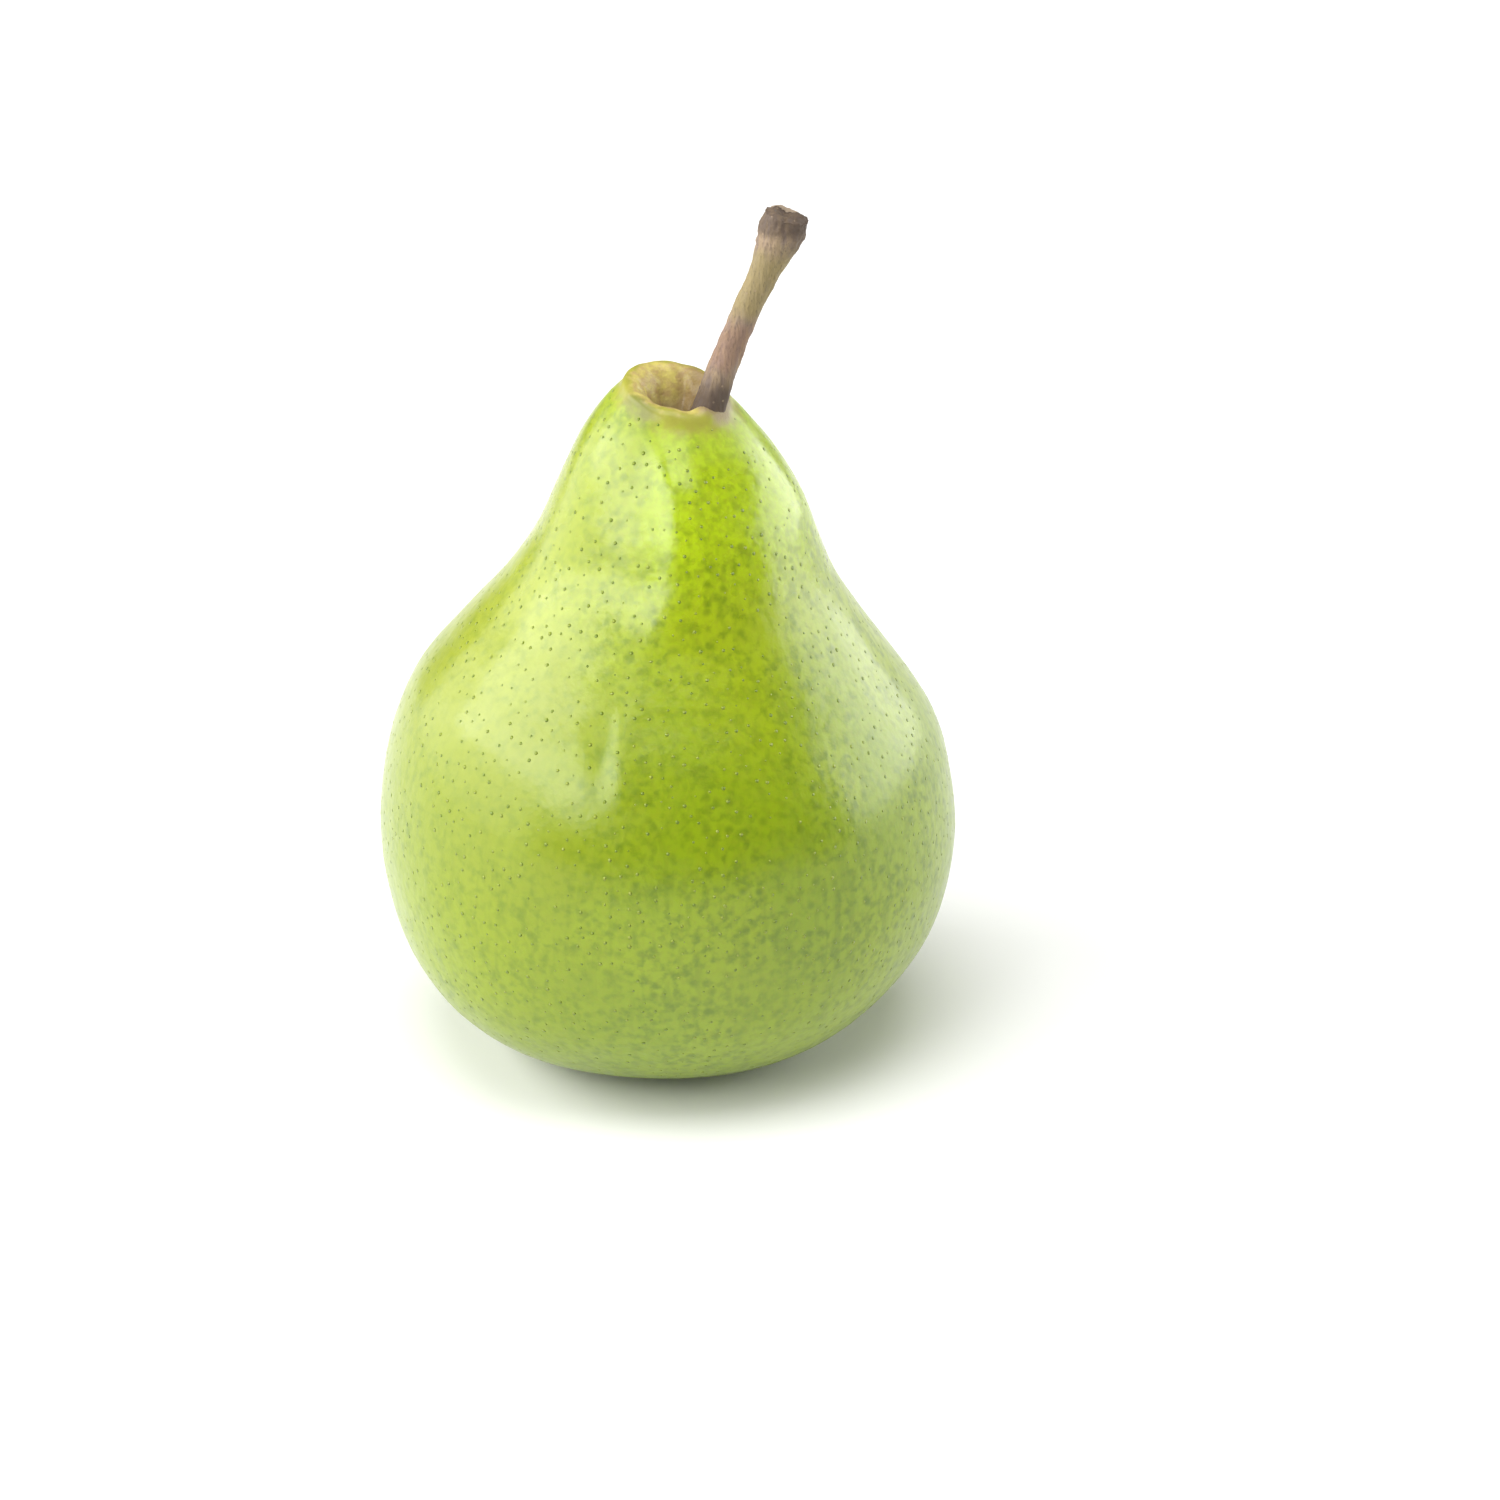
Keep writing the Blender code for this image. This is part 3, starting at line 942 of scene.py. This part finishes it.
def dried(name, tan_share):
    """Dead, dry plant matter: brown with some tan and black, and dull."""
    material, tree, shader, place = new_material(name)
    colour = blend(tree, noise(tree, place, 0.9, 3.0).ramp(0.4, 0.65) * tan_share, DRY_BROWN, DRY_TAN)
    colour = blend(tree, noise(tree, place, 2.6, 3.0).ramp(0.5, 0.7) * 0.7, colour, DRY_BLACK)
    feed(shader.inputs["Base Color"], colour)
    feed(shader.inputs["Roughness"], noise(tree, place, 2.0, 2.0).ramp(0.3, 0.7, 0.7, 0.95))
    bumpy(tree, shader, noise(tree, place, 5.0, 4.0), 0.7, 0.12)
    shader.inputs["Specular IOR Level"].default_value = 0.25
    return material


# %% Sepals
# Radius, height and width along a sepal. Its root lies in the flesh, because it grows there.
SEPAL_LINE = [
    (2.9, 5.1, 2.4),
    (3.15, 4.05, 2.7),
    (3.9, 3.15, 3.0),
    (5.3, 2.0, 2.0),
    (7.0, 0.75, 0.5),
]
SEPAL_TURNS = [0.0, 74.0, 143.0, 217.0, 289.0]
SEPAL_SIZES = {
    "Sides": 64,
    "Rows": 90,
    "Thickness": 0.42,
    "Cup": 0.35,
    "Crumple": 0.20,
    "Turn": 0.0,
    "Seed": 0.0,
}


def sepal_tree(material):
    tree, given = new_tree("Dried sepal", SEPAL_SIZES)
    roll = wrapped(tree, given, given["Geometry"], 0.03, 0.97, "width")
    sine = roll["sine"]
    wander = (noise(tree, vector(tree, roll["at"] * 5.0, given["Seed"], sine), 1.0, 2.0) - 0.5) * 0.5 + 1.0
    half = roll["value"] * roll["closing"] * 0.5 * wander
    thick = given["Thickness"] * roll["closing"] * 0.5
    flat = steps_out(tree, roll, thick * roll["cosine"] - sine * sine * half * given["Cup"], half * sine, 0.0)
    leaf = merged(tree, moved(tree, roll["cloth"], Position=flat))
    x, y, z = parts(tree, position(tree))
    place = vector(tree, x, y, z + given["Seed"] * 9.0)
    crumple = (noise(tree, place, 0.6, 2.0) - 0.5) * given["Crumple"] * 3.0
    leaf = moved(tree, leaf, Offset=vector(tree, 0.0, 0.0, crumple * z.ramp(0.2, 1.4)))
    leaf = relieved(tree, leaf, (noise(tree, place, 2.5, 2.0) - 0.5) * given["Crumple"] * 0.5)
    about_axis = vector(tree, 0.0, 0.0, given["Turn"])
    turned = node(tree, "GeometryNodeTransform", {"Geometry": leaf, "Rotation": about_axis}).outputs[0]
    close_tree(tree, to_metres(tree, turned), material)
    return tree


sepal_rule = sepal_tree(dried("dry_leaf", 0.8))
sepal_points = smooth_line([(radius, 0.0, height, width) for radius, height, width in SEPAL_LINE], 10)
for number, turn in enumerate(SEPAL_TURNS, 1):
    start = line_mesh("sepal_line", sepal_points[:, :3], width=sepal_points[:, 3])
    sepal = made_by(sepal_rule, f"leaf_{number}", start, {"Turn": math.radians(turn), "Seed": float(number)})
    print("volume in ml and open edges:", volume_and_gaps(sepal))
    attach(sepal, "root")
    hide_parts(f"sepal_{number}")

# %% Stamens
TUFT_TOP, TUFT_LENGTH = 8.8, 5.3
THREAD_END = (0.12, 0.1, -TUFT_LENGTH)
GOLDEN_ANGLE = math.radians(137.5)
STYLES_REACH = 0.35
CROOKEDNESS = 0.35
TUFT_SIZES = {
    "Threads": 26,
    "Thread": 0.11,
    "Anther": 0.24,
    "Styles": 5,
    "Style": 0.17,
    "Spread": 0.95,
    "Seed": 3,
}


def joined(tree, *pieces):
    made = node(tree, "GeometryNodeJoinGeometry")
    for piece in pieces:
        tree.links.new(piece, made.inputs[0])
    return made.outputs[0]


def thread(tree, thickness):
    """A bent thread that hangs from the origin."""
    bend = node(tree, "GeometryNodeCurveQuadraticBezier", {
        "Resolution": 10,
        "Start": (0.0, 0.0, 0.0),
        "Middle": (0.5, 0.0, -0.5 * TUFT_LENGTH),
        "End": THREAD_END,
    }).outputs[0]
    circle = {"Resolution": 7, "Radius": thickness}
    section = node(tree, "GeometryNodeCurvePrimitiveCircle", circle).outputs[0]
    tube = {"Curve": bend, "Profile Curve": section, "Fill Caps": True}
    return node(tree, "GeometryNodeCurveToMesh", tube).outputs[0]


def anther(tree, radius):
    """The withered knob at a thread's end."""
    ball = node(tree, "GeometryNodeMeshIcoSphere", {"Radius": radius, "Subdivisions": 2}).outputs[0]
    hung = {"Geometry": ball, "Translation": THREAD_END, "Scale": (0.8, 0.6, 1.5)}
    return node(tree, "GeometryNodeTransform", hung).outputs[0]


def tuft(tree, count, reach, instance, shortest, seed):
    """Copies of a thread on a spiral like a sunflower's, the outer ones tilted outwards the most."""
    index = Field(node(tree, "GeometryNodeInputIndex").outputs[0])
    angle = index * GOLDEN_ANGLE
    out = ((index + 0.5) / count).math("SQRT") * reach
    place = vector(tree, out * angle.math("COSINE"), out * angle.math("SINE"), TUFT_TOP)
    tilt = out * random_between(tree, -0.10, -0.02, seed)
    return node(tree, "GeometryNodeInstanceOnPoints", {
        "Points": node(tree, "GeometryNodePoints", {"Count": count, "Position": place}).outputs[0],
        "Instance": instance,
        "Rotation": vector(tree, 0.0, tilt, angle),
        "Scale": vector(tree, 1.0, 1.0, random_between(tree, shortest, 1.0, seed + 1.0)),
    }).outputs[0]


def shake(tree, place):
    return (noise(tree, place, 0.9, 2.0) - 0.5) * CROOKEDNESS


def stamens_tree(material):
    tree, given = new_tree("Stamen tuft", TUFT_SIZES)
    stamen = joined(tree, anther(tree, given["Anther"]), thread(tree, given["Thread"]))
    stamens = tuft(tree, given["Threads"], given["Spread"], stamen, 0.72, given["Seed"])
    style = thread(tree, given["Style"])
    styles = tuft(tree, given["Styles"], STYLES_REACH, style, 0.95, given["Seed"] + 9.0)
    real = node(tree, "GeometryNodeRealizeInstances", {"Geometry": joined(tree, stamens, styles)}).outputs[0]
    place = position(tree)
    elsewhere = vector_math(tree, "ADD", place, (7.0, 3.0, 0.0))
    shaken = moved(tree, real, Offset=vector(tree, shake(tree, place), shake(tree, elsewhere), 0.0))
    close_tree(tree, to_metres(tree, shaken), material)
    return tree


tuft_start = bpy.data.meshes.new("tuft_start")
stamens = made_by(stamens_tree(dried("dry_thread", 0.45)), "tuft", tuft_start)
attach(stamens, "root")
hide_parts("stamens")

# %% [markdown]
# ## Floor and light
#
# The pear stands in a white studio. A wide soft box high on the left gives the broad pale sheen on the neck
# and on the left of the body, and a low one under it lights the left edge. One behind on the right gives the
# long pale strip there, and one above lights the shoulders and the hollow. Nothing bright stands behind the
# camera, so the middle of the fruit shows its own full green. The floor is white, catches a soft shadow, and
# lies a hair below the pear, so that the ring that the pear stands on and the floor are never the same place.

# %% Floor
FLOOR_WHITE = (0.88, 0.88, 0.875)
FLOOR_HEIGHT = -0.05 * MM
FLOOR_REACH = 3.0

floor_mesh = bpy.data.meshes.new("floor")
floor_sides = ((-1, -1), (1, -1), (1, 1), (-1, 1))
floor_corners = [(x * FLOOR_REACH, y * FLOOR_REACH, FLOOR_HEIGHT) for x, y in floor_sides]
floor_mesh.from_pydata(floor_corners, [], [(0, 1, 2, 3)])
floor = bpy.data.objects.new("floor", floor_mesh)
bpy.context.scene.collection.objects.link(floor)
floor_material = bpy.data.materials.new("floor")
floor_material.use_nodes = True
floor_shader = floor_material.node_tree.nodes["Principled BSDF"]
floor_shader.inputs["Base Color"].default_value = (*FLOOR_WHITE, 1.0)
floor_shader.inputs["Roughness"].default_value = 0.8
floor_shader.inputs["Specular IOR Level"].default_value = 0.1
floor_mesh.materials.append(floor_material)
print("floor reaches", FLOOR_REACH, "m to each side")


# %% Softboxes
# Azimuth and elevation in degrees, width and height in metres, and radiance.
SOFTBOXES = {
    "left_softbox": (-70.0, 37.0, 1.45, 0.40, 4.6),
    "low_left_softbox": (-92.0, 12.0, 1.5, 0.40, 2.0),
    "right_softbox": (113.0, 14.0, 1.0, 0.48, 3.3),
    "top_softbox": (10.0, 82.0, 0.8, 0.8, 3.0),
}
SOFTBOX_DISTANCE = 0.9
LIT_POINT = Vector((0.0, 0.0, 0.045))
WORLD_STRENGTH = 0.16


def softbox(name, azimuth, elevation, width, height, radiance):
    """A rectangular light that faces the pear. Azimuth 0 is the camera's side, and plus is to its right."""
    data = bpy.data.lights.new(name, "AREA")
    data.shape = "RECTANGLE"
    data.size, data.size_y = width, height
    # A soft box of this power shines with the wanted radiance, whatever its size.
    data.energy = radiance * 4.0 * width * height
    light = bpy.data.objects.new(name, data)
    bpy.context.scene.collection.objects.link(light)
    turn, rise = math.radians(azimuth), math.radians(elevation)
    away = Vector((math.sin(turn) * math.cos(rise), -math.cos(turn) * math.cos(rise), math.sin(rise)))
    light.location = LIT_POINT + away * SOFTBOX_DISTANCE
    light.rotation_euler = (-away).to_track_quat("-Z", "Y").to_euler()
    print(name, "shines with", round(data.energy, 2), "W")


for name, settings in SOFTBOXES.items():
    softbox(name, *settings)

# %% World
world = bpy.data.worlds.new("studio")
world.use_nodes = True
background = world.node_tree.nodes["Background"]
background.inputs["Color"].default_value = (1.0, 1.0, 1.0, 1.0)
background.inputs["Strength"].default_value = WORLD_STRENGTH
bpy.context.scene.world = world
bpy.context.scene.view_settings.view_transform = "Standard"
print("world strength", WORLD_STRENGTH)
